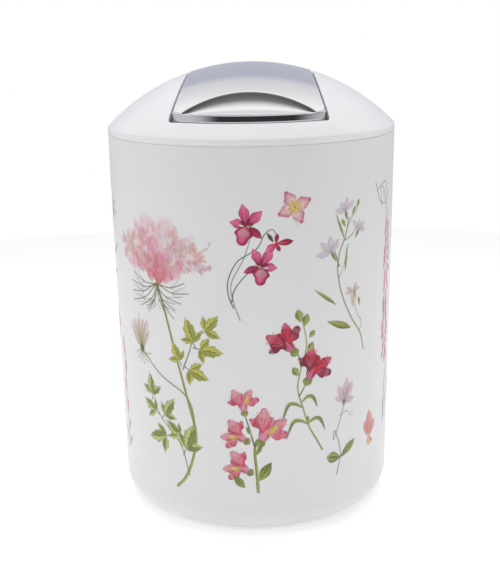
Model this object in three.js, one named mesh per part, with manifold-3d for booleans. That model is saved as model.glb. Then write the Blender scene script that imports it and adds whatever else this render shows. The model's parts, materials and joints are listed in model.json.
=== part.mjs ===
// A bathroom waste bin with a swing lid: a round container, a lift-off dome lid, and a plated
// flap that swings on two pins in the lid. Millimetres, +Z up, -Y is the front, and the origin
// is on the floor at the middle of the base.
import * as THREE from "three";
import { mergeVertices } from "three/addons/utils/BufferGeometryUtils.js";
import Module from "manifold-3d";

const wasm = await Module();
wasm.setup();

// ---- Driving dimensions ----
const OVERALL_HEIGHT = 305;
const RIM_RADIUS = 98; // outside, at the crease between the lid's dome and its skirt
const BASE_RADIUS = 94.5; // outside, where the wall's line would meet the floor
const CREASE_HEIGHT = 263.5;
const LID_SKIRT = 4; // from the crease down to the parting line
const CREASE_ROUNDING = 2;
const FIT_GAP = 0.3; // between pieces that touch or turn on each other

const BODY_WALL = 2;
const BASE_FILLET = 18;
const FOOT_WIDTH = 10; // the flat ring that the bin stands on
const BASE_RECESS = 2; // the middle of the base is this far off the floor
const BASE_STEP = 3; // width of the slope between the foot and the recess

const LID_WALL = 2.2;
const PLUG_DEPTH = 12; // the ring under the lid that drops into the container
const PLUG_WALL = 2.2;
const PLUG_CLEARANCE = 0.4;
const PLUG_LEAD_IN = 1;

const OPENING_END_RADIUS = 87.6; // the front and rear edges of the lid's opening are one circle
const OPENING_WAIST = 42.4; // half width of the opening at its middle
const OPENING_SIDE_RADIUS = 315; // each side edge is an arc that bows in towards the waist
const OPENING_CORNER = 4;
const CURB_WALL = 1.8; // the stiffening wall that hangs from the opening's edge
const CURB_DEPTH = 6;

const FLAP_WALL = 2.2;
const FLAP_SIDE_GAP = 1.1;
const FLAP_END_RADIUS = 83.2;
const FLAP_CORNER = 3.4;
const LIP_DROP = 6.3; // height of the turned-down lip at the front and rear
const SIDE_SKIRT_DEPTH = 6;
const SCOOP_TOP = 63; // from the middle to the top edge of each finger scoop
const SCOOP_HALF_WIDTH = 43.4;
const SCOOP_SLOPE = THREE.MathUtils.degToRad(65); // at its top edge; it flattens towards the shelf
const SCOOP_LEAST_LENGTH = 0.6; // out along the flap, as a share of the scoop's depth
const SCOOP_TOP_INSET = 0.8; // how far inwards the underside's top edge lies, in wall thicknesses
const SCOOP_FOOT_INSET = 0.4; // the same at the foot
const SHELF_WIDTH = 2.7; // the level strip between the scoop and the lip
const END_BOX_LENGTH = 22; // the flap's side walls are full depth this far from its ends

const HINGE_HEIGHT = 291.3;
const PIN_RADIUS = 2.2;
const PIN_INNER_END = 30;
const BRACKET_WALL = 4.4;
const BRACKET_HALF_LENGTH = 8;
const BRACKET_BELOW_HINGE = 6.5;

const CARRIER_WALL = 2;
const CARRIER_HALF_LENGTH = 46;
const CARRIER_BOTTOM = 280;
const CARRIER_RIBS = [-1, -0.5, 0, 0.5, 1]; // places of the cross ribs, as shares of half the length
const BOSS_RADIUS = 5;

// ---- Derived dimensions ----
const DOME_RISE = OVERALL_HEIGHT - CREASE_HEIGHT;
const DOME_RADIUS = (RIM_RADIUS ** 2 + DOME_RISE ** 2) / (2 * DOME_RISE);
const DOME_CENTRE = OVERALL_HEIGHT - DOME_RADIUS;
const PARTING_HEIGHT = CREASE_HEIGHT - LID_SKIRT;
const WALL_SLOPE = (RIM_RADIUS - BASE_RADIUS) / CREASE_HEIGHT;
const DRAFT = Math.atan(WALL_SLOPE);
const SIDE_CENTRE = OPENING_WAIST + OPENING_SIDE_RADIUS;
const FLAP_WAIST = OPENING_WAIST - FLAP_SIDE_GAP;
const LIP_TOP = domeHeight(FLAP_END_RADIUS, DOME_RADIUS);
const LIP_BOTTOM = LIP_TOP - LIP_DROP;
const CHEEK_OUTSIDE = FLAP_WAIST - FLAP_WALL - FIT_GAP;

const ROUND_SEGMENTS = 72;
const DOME_STEPS = 12;
const FILLET_STEPS = 6;
const OUTLINE_STEPS = 6;
const SCOOP_COLUMNS = 16;
const SCOOP_ROWS = 6;
const BELOW_LID = 230; // a height under everything that hangs from the lid
const ABOVE_LID = 320;

// Height of a point of the dome's sphere, or of one concentric with it, at a distance from the axis.
function domeHeight(distance, radius) {
  return DOME_CENTRE + Math.sqrt(radius ** 2 - distance ** 2);
}

// Outside radius of the container's wall at a height.
function wallRadius(height) {
  return BASE_RADIUS + height * WALL_SLOPE;
}

// Points of an arc in a lathe profile: x is the distance from the axis and y is the height.
function arc(x, y, radius, from, to, steps) {
  const points = [];
  for (let i = 0; i <= steps; i++) {
    const angle = from + ((to - from) * i) / steps;
    points.push(new THREE.Vector2(x + radius * Math.cos(angle), y + radius * Math.sin(angle)));
  }
  return points;
}

// ---- Solids ----
function solid(geometry) {
  const bare = geometry.index ? geometry.toNonIndexed() : geometry.clone();
  bare.deleteAttribute("normal");
  bare.deleteAttribute("uv");
  const merged = mergeVertices(bare, 1e-4);
  const mesh = new wasm.Mesh({
    numProp: 3,
    vertProperties: new Float32Array(merged.attributes.position.array),
    triVerts: new Uint32Array(merged.index.array),
  });
  return new wasm.Manifold(mesh);
}

function geometryOf(manifold) {
  const mesh = manifold.getMesh();
  const geometry = new THREE.BufferGeometry();
  geometry.setAttribute("position", new THREE.BufferAttribute(mesh.vertProperties, 3));
  geometry.setIndex(new THREE.BufferAttribute(mesh.triVerts, 1));
  geometry.computeVertexNormals();
  return geometry;
}

// A profile turned about the Z axis; it runs anticlockwise, with the material on its left.
function turned(profile) {
  return solid(new THREE.LatheGeometry(profile, ROUND_SEGMENTS).rotateX(Math.PI / 2));
}

function box(x0, x1, y0, y1, z0, z1) {
  const geometry = new THREE.BoxGeometry(x1 - x0, y1 - y0, z1 - z0);
  return solid(geometry.translate((x0 + x1) / 2, (y0 + y1) / 2, (z0 + z1) / 2));
}

// An upright prism of an outline drawn in X and Y.
function prism(shape, bottom, top) {
  const settings = { depth: top - bottom, bevelEnabled: false, curveSegments: OUTLINE_STEPS };
  return solid(new THREE.ExtrudeGeometry(shape, settings).translate(0, 0, bottom));
}

// A round bar along X at the height of the hinge.
function hingeBar(radius, x0, x1) {
  const geometry = new THREE.CylinderGeometry(radius, radius, x1 - x0, 24).rotateZ(Math.PI / 2);
  return solid(geometry.translate((x0 + x1) / 2, 0, HINGE_HEIGHT));
}

// Everything under a sphere concentric with the dome, down to below the lid.
function underDome(radius) {
  const widest = RIM_RADIUS + 2;
  const profile = arc(0, DOME_CENTRE, radius, Math.acos(widest / radius), Math.PI / 2, DOME_STEPS);
  profile[profile.length - 1].x = 0;
  return turned([new THREE.Vector2(0, BELOW_LID), new THREE.Vector2(widest, BELOW_LID), ...profile]);
}

// The outline that the opening and the flap share: ends on one circle, waisted sides, round corners.
function waistedOutline(endRadius, waist, corner) {
  const sideRadius = SIDE_CENTRE - waist;
  const cornerReach = endRadius - corner;
  const sideReach = sideRadius + corner;
  const cornerX = (cornerReach ** 2 - sideReach ** 2 + SIDE_CENTRE ** 2) / (2 * SIDE_CENTRE);
  const cornerY = Math.sqrt(cornerReach ** 2 - cornerX ** 2);
  const toSide = Math.atan2(-cornerY, SIDE_CENTRE - cornerX);
  const toEnd = Math.atan2(cornerY, cornerX);
  const shape = new THREE.Shape();
  for (const [side, turn] of [[1, 0], [-1, Math.PI]]) {
    const back = turn + Math.PI;
    shape.absarc(side * SIDE_CENTRE, 0, sideRadius, back - toSide, back + toSide, true);
    shape.absarc(side * cornerX, side * cornerY, corner, turn + toSide, turn + toEnd, false);
    shape.absarc(0, 0, endRadius, turn + toEnd, back - toEnd, false);
    shape.absarc(-side * cornerX, side * cornerY, corner, back - toEnd, back - toSide, false);
  }
  return shape;
}

// A solid between convex sections that have the same number of points, capped at both ends.
function lofted(sections) {
  const size = sections[0].length;
  const corners = sections.flat().flatMap((point) => point.toArray());
  const faces = [];
  const last = (sections.length - 1) * size;
  for (let k = 1; k < size - 1; k++) {
    faces.push(0, k + 1, k, last, last + k, last + k + 1);
  }
  for (let i = 0; i < last; i += size) {
    for (let k = 0; k < size; k++) {
      const next = (k + 1) % size;
      faces.push(i + k, i + next, i + size + k, i + next, i + size + next, i + size + k);
    }
  }
  const geometry = new THREE.BufferGeometry();
  geometry.setAttribute("position", new THREE.Float32BufferAttribute(corners, 3));
  geometry.setIndex(faces);
  return solid(geometry);
}

// The space over the finger scoop at one end of the flap (1 or -1), or over its underside when
// inset: steep and hollow below its bowed top edge, and a level shelf along the lip.
function scoopSpace(inset, end) {
  const shelf = LIP_TOP - inset;
  const corner = Math.sqrt(FLAP_END_RADIUS ** 2 - SCOOP_HALF_WIDTH ** 2);
  const sections = [];
  for (let i = 0; i <= SCOOP_COLUMNS; i++) {
    const side = (2 * i) / SCOOP_COLUMNS - 1;
    const x = side * SCOOP_HALF_WIDTH;
    const top = SCOOP_TOP + (corner - SCOOP_TOP) * side ** 2 - SCOOP_TOP_INSET * inset;
    const rise = Math.max(domeHeight(Math.hypot(x, top), DOME_RADIUS - inset) - shelf, 0.01);
    const round = Math.sqrt((FLAP_END_RADIUS - SHELF_WIDTH) ** 2 - x ** 2) - SCOOP_FOOT_INSET * inset;
    const foot = Math.max(round, top + SCOOP_LEAST_LENGTH * rise);
    const section = [new THREE.Vector3(x, top, ABOVE_LID)];
    for (let j = SCOOP_ROWS; j >= 0; j--) {
      const share = (j / SCOOP_ROWS) * Math.sin(SCOOP_SLOPE);
      const hollow = (1 - Math.sqrt(1 - share ** 2)) / (1 - Math.cos(SCOOP_SLOPE));
      const out = foot + ((top - foot) * j) / SCOOP_ROWS;
      section.push(new THREE.Vector3(x, out, shelf + rise * hollow));
    }
    section.push(new THREE.Vector3(x, RIM_RADIUS, shelf));
    section.push(new THREE.Vector3(x, RIM_RADIUS, ABOVE_LID));
    sections.push(section);
  }
  const space = lofted(sections);
  return end > 0 ? space : space.rotate([0, 0, 180]);
}

// ---- Pieces ----
function containerBody() {
  const filletX = BASE_RADIUS + BASE_FILLET * WALL_SLOPE - BASE_FILLET / Math.cos(DRAFT);
  const footInside = filletX - FOOT_WIDTH;
  const recessEdge = footInside - BASE_STEP;
  const innerFillet = BASE_FILLET - BODY_WALL;
  return turned([
    new THREE.Vector2(0, BASE_RECESS),
    new THREE.Vector2(recessEdge, BASE_RECESS),
    new THREE.Vector2(footInside, 0),
    ...arc(filletX, BASE_FILLET, BASE_FILLET, -Math.PI / 2, -DRAFT, FILLET_STEPS),
    new THREE.Vector2(wallRadius(PARTING_HEIGHT), PARTING_HEIGHT),
    new THREE.Vector2(wallRadius(PARTING_HEIGHT) - BODY_WALL, PARTING_HEIGHT),
    ...arc(filletX, BASE_FILLET, innerFillet, -DRAFT, -Math.PI / 2, FILLET_STEPS),
    new THREE.Vector2(footInside, BODY_WALL),
    new THREE.Vector2(recessEdge, BODY_WALL + BASE_RECESS),
    new THREE.Vector2(0, BODY_WALL + BASE_RECESS),
  ]);
}

function lidShell() {
  const skirtBottom = PARTING_HEIGHT + FIT_GAP;
  const plugOutside = wallRadius(PARTING_HEIGHT) - BODY_WALL - PLUG_CLEARANCE;
  const plugInside = plugOutside - PLUG_WALL;
  const plugBottom = PARTING_HEIGHT - PLUG_DEPTH;
  const roundingX = RIM_RADIUS - CREASE_ROUNDING;
  const roundingReach = DOME_RADIUS - CREASE_ROUNDING;
  const roundingAngle = Math.acos(roundingX / roundingReach);
  const roundingY = DOME_CENTRE + roundingReach * Math.sin(roundingAngle);
  const innerRadius = DOME_RADIUS - LID_WALL;
  const innerAngle = Math.acos(plugInside / innerRadius);
  const outerDome = arc(0, DOME_CENTRE, DOME_RADIUS, roundingAngle, Math.PI / 2, DOME_STEPS);
  const innerDome = arc(0, DOME_CENTRE, innerRadius, Math.PI / 2, innerAngle, DOME_STEPS);
  outerDome[DOME_STEPS].x = 0;
  innerDome[0].x = 0;
  return turned([
    ...innerDome,
    new THREE.Vector2(plugInside, plugBottom),
    new THREE.Vector2(plugOutside - PLUG_LEAD_IN, plugBottom),
    new THREE.Vector2(plugOutside, plugBottom + PLUG_LEAD_IN),
    new THREE.Vector2(plugOutside, skirtBottom),
    new THREE.Vector2(RIM_RADIUS, skirtBottom),
    ...arc(roundingX, roundingY, CREASE_ROUNDING, 0, roundingAngle, 3).slice(0, -1),
    ...outerDome,
  ]);
}

// The lid with its opening, the curb round the opening, and the two bearing brackets.
function lidDome() {
  const inWall = underDome(DOME_RADIUS - LID_WALL / 2);
  const curbEnd = OPENING_END_RADIUS + CURB_WALL;
  const curbWaist = OPENING_WAIST + CURB_WALL;
  const curbOutline = waistedOutline(curbEnd, curbWaist, OPENING_CORNER + CURB_WALL);
  const curb = prism(curbOutline, BELOW_LID + 1, ABOVE_LID)
    .intersect(inWall)
    .subtract(underDome(DOME_RADIUS - CURB_DEPTH));
  const opening = waistedOutline(OPENING_END_RADIUS, OPENING_WAIST, OPENING_CORNER);
  let lid = lidShell().add(curb).subtract(prism(opening, BELOW_LID, ABOVE_LID));
  const bracketTop = OPENING_WAIST + BRACKET_WALL;
  for (const side of [-1, 1]) {
    const [x0, x1] = [side * OPENING_WAIST, side * bracketTop].sort((a, b) => a - b);
    const bottom = HINGE_HEIGHT - BRACKET_BELOW_HINGE;
    const bracket = box(x0, x1, -BRACKET_HALF_LENGTH, BRACKET_HALF_LENGTH, bottom, ABOVE_LID);
    lid = lid
      .add(bracket.intersect(inWall))
      .subtract(hingeBar(PIN_RADIUS + FIT_GAP, x0 - 1, x1 + 1));
  }
  return lid;
}

// The plated cover of the flap: a thin skin flush with the dome, with side skirts, a lip and a
// finger scoop at each end, open underneath. The pins pass through notches in its side skirts.
function flapShell() {
  const layer = (inset) => {
    const endRadius = FLAP_END_RADIUS - inset;
    const outline = waistedOutline(endRadius, FLAP_WAIST - inset, FLAP_CORNER - inset);
    return prism(outline, BELOW_LID + 1, ABOVE_LID)
      .intersect(underDome(DOME_RADIUS - inset))
      .subtract(scoopSpace(inset, 1))
      .subtract(scoopSpace(inset, -1));
  };
  const boxStart = FLAP_END_RADIUS - END_BOX_LENGTH;
  const belowSides = underDome(DOME_RADIUS - SIDE_SKIRT_DEPTH).intersect(
    box(-RIM_RADIUS, RIM_RADIUS, -boxStart, boxStart, BELOW_LID, ABOVE_LID),
  );
  const belowLips = box(-RIM_RADIUS, RIM_RADIUS, -RIM_RADIUS, RIM_RADIUS, BELOW_LID, LIP_BOTTOM);
  return layer(0)
    .subtract(layer(FLAP_WALL))
    .subtract(belowSides)
    .subtract(belowLips)
    .subtract(hingeBar(PIN_RADIUS + FIT_GAP, -RIM_RADIUS, RIM_RADIUS));
}

// The frame inside the flap: two cheeks that hold the hinge pins, joined by cross ribs and a keel.
function flapCarrier() {
  const half = CARRIER_WALL / 2;
  const cheekInside = CHEEK_OUTSIDE - CARRIER_WALL;
  const end = CARRIER_HALF_LENGTH;
  let frame = box(-half, half, -end, end, CARRIER_BOTTOM, ABOVE_LID);
  for (const place of CARRIER_RIBS) {
    const middle = place * (end - half);
    const [y0, y1] = [middle - half, middle + half];
    frame = frame.add(box(-CHEEK_OUTSIDE, CHEEK_OUTSIDE, y0, y1, CARRIER_BOTTOM, ABOVE_LID));
  }
  for (const side of [-1, 1]) {
    const [x0, x1] = [side * cheekInside, side * CHEEK_OUTSIDE].sort((a, b) => a - b);
    const [b0, b1] = [side * PIN_INNER_END, side * CHEEK_OUTSIDE].sort((a, b) => a - b);
    frame = frame
      .add(box(x0, x1, -end, end, CARRIER_BOTTOM, ABOVE_LID))
      .add(hingeBar(BOSS_RADIUS, b0, b1))
      .subtract(hingeBar(PIN_RADIUS + FIT_GAP, b0 - FIT_GAP, b1 + FIT_GAP));
  }
  return frame.intersect(underDome(DOME_RADIUS - FLAP_WALL - FIT_GAP));
}

function hingePin(side) {
  const outerEnd = OPENING_WAIST + BRACKET_WALL - FIT_GAP;
  const [x0, x1] = [side * PIN_INNER_END, side * outerEnd].sort((a, b) => a - b);
  return hingeBar(PIN_RADIUS, x0, x1);
}

// ---- Assembly ----
const bin = new THREE.Group();

function addPiece(name, shape, colour, roughness, metalness) {
  const material = new THREE.MeshStandardMaterial({ color: colour, roughness, metalness });
  const mesh = new THREE.Mesh(geometryOf(shape), material);
  mesh.name = name;
  bin.add(mesh);
}

addPiece("container_body", containerBody(), 0xf3f2f2, 0.35, 0);
addPiece("lid_dome", lidDome(), 0xf4f3f5, 0.3, 0);
addPiece("flap_shell", flapShell(), 0xd8d9dc, 0.08, 1);
addPiece("flap_carrier", flapCarrier(), 0xe6e6e6, 0.5, 0);
addPiece("hinge_pin_left", hingePin(-1), 0xb4b6b8, 0.3, 1);
addPiece("hinge_pin_right", hingePin(1), 0xb4b6b8, 0.3, 1);

export default bin;
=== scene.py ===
"""A swing-lid bathroom waste bin with a flower print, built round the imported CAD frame.

Shapes are worked out in millimetres and written to Blender in metres. +Z is up, -Y is the front.
"""

import json
import math

import bpy
import numpy as np
from mathutils import Matrix, Vector


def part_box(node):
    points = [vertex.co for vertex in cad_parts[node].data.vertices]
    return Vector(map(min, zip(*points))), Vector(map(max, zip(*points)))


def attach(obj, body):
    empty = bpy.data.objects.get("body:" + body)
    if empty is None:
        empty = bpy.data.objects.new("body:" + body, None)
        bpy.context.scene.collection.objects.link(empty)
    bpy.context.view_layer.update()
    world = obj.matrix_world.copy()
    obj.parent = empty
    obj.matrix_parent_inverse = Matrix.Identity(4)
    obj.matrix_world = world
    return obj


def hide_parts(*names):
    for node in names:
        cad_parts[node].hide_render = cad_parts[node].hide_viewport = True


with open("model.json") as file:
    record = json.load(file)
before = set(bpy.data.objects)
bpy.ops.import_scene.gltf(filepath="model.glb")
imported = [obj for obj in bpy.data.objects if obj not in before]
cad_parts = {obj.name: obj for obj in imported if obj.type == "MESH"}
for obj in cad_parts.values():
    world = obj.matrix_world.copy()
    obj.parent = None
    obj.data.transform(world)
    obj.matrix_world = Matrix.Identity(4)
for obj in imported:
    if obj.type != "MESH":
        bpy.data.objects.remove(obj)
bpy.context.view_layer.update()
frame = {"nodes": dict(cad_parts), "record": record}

MM = 0.001


def node_box(node):
    """A CAD node's lowest and highest corners in millimetres."""
    low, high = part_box(node)
    return [c / MM for c in low], [c / MM for c in high]


# ---- Sizes, in millimetres, from the frame's boxes and the walls of the mouldings ----
BODY_HIGH = node_box("container_body")[1]
LID_LOW, LID_HIGH = node_box("lid_dome")
FLAP_LOW, FLAP_HIGH = node_box("flap_shell")
HINGE_HEIGHT = frame["record"]["behaviour"]["joints"][1]["pos_m"][2] / MM

RIM_RADIUS = LID_HIGH[0]
OVERALL_HEIGHT = FLAP_HIGH[2]
PARTING_HEIGHT = BODY_HIGH[2]
CREASE_HEIGHT = PARTING_HEIGHT + 4
CREASE_ROUNDING = 2
SEAT_GAP = 0.12  # the slit that shows between the container and the lid

WALL_SLOPE = (RIM_RADIUS - BODY_HIGH[0]) / (CREASE_HEIGHT - PARTING_HEIGHT)
BASE_RADIUS = RIM_RADIUS - CREASE_HEIGHT * WALL_SLOPE
BODY_WALL = 2
BASE_FILLET = 18
BASE_RECESS = 2
FOOT_INSIDE = BASE_RADIUS - BASE_FILLET - 9.8
BASE_STEP = 3

LID_WALL = 2.2
PLUG_BOTTOM = LID_LOW[2]
PLUG_OUTSIDE = BODY_HIGH[0] - BODY_WALL - 0.4
PLUG_INSIDE = PLUG_OUTSIDE - 2.2
CURB_WALL = 1.8
CURB_DEPTH = 6

FLAP_WALL = 2.2
FLAP_END = FLAP_HIGH[1]
FLAP_SIDE_GAP = 1.1
FLAP_CORNER = 3.4
FLAP_LEAST_CORNER = 1.2
FLAP_ROUNDING = 0.9
PIN_BORE = 2.5
OPENING_END = FLAP_END + 4.4
OPENING_WAIST = 42.4
OPENING_SIDE_RADIUS = 315
OPENING_CORNER = 4
OPENING_ROUNDING = 0.8
SIDE_CENTRE = OPENING_WAIST + OPENING_SIDE_RADIUS
SIDE_SKIRT = 6
LIP_BOTTOM = FLAP_LOW[2]
SCOOP_TOP = 63
SCOOP_SLOPE = math.radians(65)
SCOOP_HALF_WIDTH = 43.4
SCOOP_LEAST_LENGTH = 0.6  # out along the flap, as a share of the scoop's depth
SCOOP_TOP_INSET = 0.8  # how far inwards the underside's top edge lies, in wall thicknesses
SCOOP_FOOT_INSET = 0.4  # the same at the foot
SHELF_WIDTH = 2.7
END_BOX = 22  # the flap's side walls are full depth this far from its ends
END_FADE = 6  # over this length they rise to the shallower skirt
BRACKET_WALL = 4.4
BRACKET_HALF = 8
BRACKET_DROP = 6.5

DOME_RISE = OVERALL_HEIGHT - CREASE_HEIGHT
DOME_RADIUS = (RIM_RADIUS**2 + DOME_RISE**2) / (2 * DOME_RISE)
DOME_CENTRE = OVERALL_HEIGHT - DOME_RADIUS

ROUND_STEPS = 288


def dome_height(distance, depth=0.0):
    """Height of the dome's sphere, or of one depth inside it, at a distance from the axis."""
    return DOME_CENTRE + np.sqrt((DOME_RADIUS - depth) ** 2 - np.square(distance))


# ---- Camera and studio, in metres and watts ----
CAMERA_PLACE = (0.0148, -0.7677, 0.3443)
CAMERA_DOWN = math.radians(14.65)
CAMERA_TURN = math.radians(1.3)
CAMERA_ROLL = math.radians(-0.93)
CAMERA_LENS = 68.46
STAGE_RADIUS = 0.95
FLOOR_DROP = 0.05 * MM  # keeps the floor from sharing a plane with the foot


def add_camera():
    ahead = Vector((-math.sin(CAMERA_TURN), math.cos(CAMERA_TURN), 0))
    right = Vector((math.cos(CAMERA_TURN), math.sin(CAMERA_TURN), 0))
    forward = ahead * math.cos(CAMERA_DOWN) - Vector((0, 0, math.sin(CAMERA_DOWN)))
    up = ahead * math.sin(CAMERA_DOWN) + Vector((0, 0, math.cos(CAMERA_DOWN)))
    rolled_right = right * math.cos(CAMERA_ROLL) + up * math.sin(CAMERA_ROLL)
    rolled_up = up * math.cos(CAMERA_ROLL) - right * math.sin(CAMERA_ROLL)
    data = bpy.data.cameras.new("camera")
    data.lens = CAMERA_LENS
    data.sensor_width = 36
    camera = bpy.data.objects.new("camera", data)
    bpy.context.scene.collection.objects.link(camera)
    axes = Matrix((rolled_right, rolled_up, -forward)).transposed()
    camera.matrix_world = Matrix.Translation(CAMERA_PLACE) @ axes.to_4x4()
    bpy.context.scene.camera = camera


def add_light(name, place, aim, size, power):
    data = bpy.data.lights.new(name, "AREA")
    data.shape = "RECTANGLE"
    data.size, data.size_y = size
    data.energy = power
    lamp = bpy.data.objects.new(name, data)
    bpy.context.scene.collection.objects.link(lamp)
    lamp.location = place
    lamp.visible_glossy = False
    lamp.rotation_mode = "QUATERNION"
    lamp.rotation_quaternion = (Vector(aim) - Vector(place)).to_track_quat("-Z", "Y")


# ---- Node helpers ----
def node(tree, kind, **settings):
    made = tree.nodes.new(kind)
    for key, value in settings.items():
        setattr(made, key, value)
    return made


def ramp(tree, source, stops):
    """A colour ramp fed by a socket; stops are (place, grey or colour)."""
    made = node(tree, "ShaderNodeValToRGB")
    elements = made.color_ramp.elements
    while len(elements) < len(stops):
        elements.new(0.5)
    for element, (place, colour) in zip(elements, stops):
        element.position = place
        grey = isinstance(colour, (int, float))
        element.color = (colour, colour, colour, 1) if grey else (*colour, 1)
    tree.links.new(source, made.inputs["Fac"])
    return made.outputs["Color"]


def maths(tree, operation, a, b=None):
    made = node(tree, "ShaderNodeMath", operation=operation)
    for socket, value in zip(made.inputs, (a, b)):
        if value is None:
            continue
        if isinstance(value, (int, float)):
            socket.default_value = value
        else:
            tree.links.new(value, socket)
    return made.outputs[0]


# The studio the plating mirrors, as strips that run left to right over the bin: the angle of each
# strip in degrees, from the camera's horizon (0) over the zenith (90) to the far horizon (180),
# and its colour. Towards the left and right walls the strips give way to plain panels.
LAVENDER = (0.53, 0.54, 0.63)
ROOM = [
    (-180, (0.5, 0.5, 0.55)),
    (-120, 0.1),
    (-60, 0.03),
    (12, 0.04),
    (40, 0.08),
    (66, 0.22),
    (84, 0.8),
    (100, 1.1),
    (112, 1.0),
    (124, 0.84),
    (134, (0.74, 0.74, 0.78)),
    (141, LAVENDER),
    (172, LAVENDER),
    (180, (0.6, 0.6, 0.64)),
]
STRIP_BOW = 0.2
SIDE_PANEL = (0.6, 0.6, 0.61, 1)
TOP_POWER = 5.0
SIDE_POWER = 2.4
FRONT_POWER = 5.8
FLOOR_GLOW = 0.29
SIDE_SHIFT = 0.09  # the dark strips reach further round on the right
SIDE_FADE = (0.54, 0.94)  # where the plain side panels begin, and where they have taken over


def add_world():
    world = bpy.data.worlds.new("studio")
    bpy.context.scene.world = world
    world.use_nodes = True
    tree = world.node_tree
    tree.nodes.clear()
    split = node(tree, "ShaderNodeSeparateXYZ")
    tree.links.new(node(tree, "ShaderNodeTexCoord").outputs["Generated"], split.inputs[0])
    x, y, z = (split.outputs[axis] for axis in "XYZ")
    angle = maths(tree, "ARCTAN2", z, maths(tree, "MULTIPLY", y, -1))
    share = maths(tree, "ADD", maths(tree, "MULTIPLY", angle, 0.5 / math.pi), 0.5)
    bow = maths(tree, "MULTIPLY", maths(tree, "MULTIPLY", x, x), -STRIP_BOW)
    share = maths(tree, "ADD", share, bow)
    strips = ramp(tree, share, [((degrees + 180) / 360, level) for degrees, level in ROOM])
    sideways = node(tree, "ShaderNodeMapRange", interpolation_type="SMOOTHSTEP")
    for end, reach in zip(("From Min", "From Max"), SIDE_FADE):
        sideways.inputs[end].default_value = reach
    off_centre = maths(tree, "SUBTRACT", x, SIDE_SHIFT)
    tree.links.new(maths(tree, "ABSOLUTE", off_centre), sideways.inputs["Value"])
    room = node(tree, "ShaderNodeMix", data_type="RGBA")
    tree.links.new(sideways.outputs["Result"], room.inputs["Factor"])
    tree.links.new(strips, room.inputs["A"])
    room.inputs["B"].default_value = SIDE_PANEL
    surround = node(tree, "ShaderNodeBackground")
    tree.links.new(room.outputs["Result"], surround.inputs["Color"])
    paper = node(tree, "ShaderNodeBackground")
    paper.inputs["Color"].default_value = (1, 1, 1, 1)
    seen = node(tree, "ShaderNodeLightPath").outputs["Is Camera Ray"]
    mix = node(tree, "ShaderNodeMixShader")
    tree.links.new(seen, mix.inputs[0])
    tree.links.new(surround.outputs[0], mix.inputs[1])
    tree.links.new(paper.outputs[0], mix.inputs[2])
    tree.links.new(mix.outputs[0], node(tree, "ShaderNodeOutputWorld").inputs["Surface"])


def add_studio():
    bpy.context.scene.view_settings.view_transform = "Standard"
    add_world()
    add_light("top_softbox", (0, 0.1, 1.3), (0, 0, 0.2), (1.2, 1.2), TOP_POWER)
    add_light("front_softbox", (0, -1.3, 1.2), (0, 0, 0.2), (0.9, 0.9), FRONT_POWER)
    add_light("left_softbox", (-1.1, -0.5, 0.7), (0, 0, 0.15), (0.5, 1.1), SIDE_POWER)
    add_light("right_softbox", (1.1, -0.5, 0.7), (0, 0, 0.15), (0.5, 1.1), SIDE_POWER)


# ---- Mesh helpers ----
def new_piece(name, points, faces, body, material):
    """A smooth mesh object from points in millimetres, riding on a body."""
    mesh = bpy.data.meshes.new(name)
    points = np.asarray(points, float) * MM
    mesh.from_pydata(points.tolist(), [], [tuple(f) for f in faces])
    mesh.validate()
    mesh.shade_smooth()
    mesh.materials.append(material)
    piece = bpy.data.objects.new(name, mesh)
    bpy.context.scene.collection.objects.link(piece)
    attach(piece, body)
    return piece


def grid_faces(rows, columns, wrap_rows=False, wrap_columns=False, start=0):
    """Quads over a grid of points stored row by row."""
    r, c = np.meshgrid(
        np.arange(rows if wrap_rows else rows - 1),
        np.arange(columns if wrap_columns else columns - 1),
        indexing="ij",
    )
    r2, c2 = (r + 1) % rows, (c + 1) % columns
    quads = np.stack([r * columns + c, r * columns + c2, r2 * columns + c2, r2 * columns + c])
    return (quads.reshape(4, -1).T + start).tolist()


def rounded(corners, closed=False, support=0.35):
    """Points of a path through (x, y, rounding) corners, with an arc at each rounded corner and
    a point just before and after it, so that smooth shading stays inside the arc."""
    count = len(corners)
    points = []
    for i, (x, y, radius) in enumerate(corners):
        here = np.array([x, y], float)
        if radius <= 0 or (not closed and i in (0, count - 1)):
            points.append(here)
            continue
        before = np.array(corners[i - 1][:2], float) - here
        after = np.array(corners[(i + 1) % count][:2], float) - here
        room_before, room_after = np.linalg.norm(before), np.linalg.norm(after)
        before, after = before / room_before, after / room_after
        half = math.acos(max(-1, min(1, float(before @ after)))) / 2
        reach = radius / math.tan(half)
        middle = here + (before + after) / np.linalg.norm(before + after) * radius / math.sin(half)
        first, last = here + before * reach, here + after * reach
        points.append(first + before * min(support, 0.3 * max(0.01, room_before - reach)))
        a = math.atan2(*(first - middle)[::-1])
        b = math.atan2(*(last - middle)[::-1])
        turn = (b - a + math.pi) % (2 * math.pi) - math.pi
        steps = max(3, min(14, round(abs(turn) * radius / 0.5)))
        for k in range(steps + 1):
            angle = a + turn * k / steps
            points.append(middle + radius * np.array([math.cos(angle), math.sin(angle)]))
        points.append(last + after * min(support, 0.3 * max(0.01, room_after - reach)))
    return np.array(points)


def turned(name, profile, body, material, steps=ROUND_STEPS):
    """A solid of revolution. The profile of (radius, height) points starts and ends on the axis."""
    inner = profile[1:-1]
    angles = np.linspace(0, 2 * math.pi, steps, endpoint=False)
    rings = np.stack(
        [
            np.outer(inner[:, 0], np.cos(angles)),
            np.outer(inner[:, 0], np.sin(angles)),
            np.repeat(inner[:, 1:2], steps, axis=1),
        ],
        axis=-1,
    )
    points = rings.reshape(-1, 3).tolist()
    faces = grid_faces(len(inner), steps, wrap_columns=True)
    first, last = len(points), len(points) + 1
    points += [[0, 0, profile[0][1]], [0, 0, profile[-1][1]]]
    top = (len(inner) - 1) * steps
    for k in range(steps):
        faces.append((first, (k + 1) % steps, k))
        faces.append((last, top + k, top + (k + 1) % steps))
    return new_piece(name, points, faces, body, material)


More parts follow.
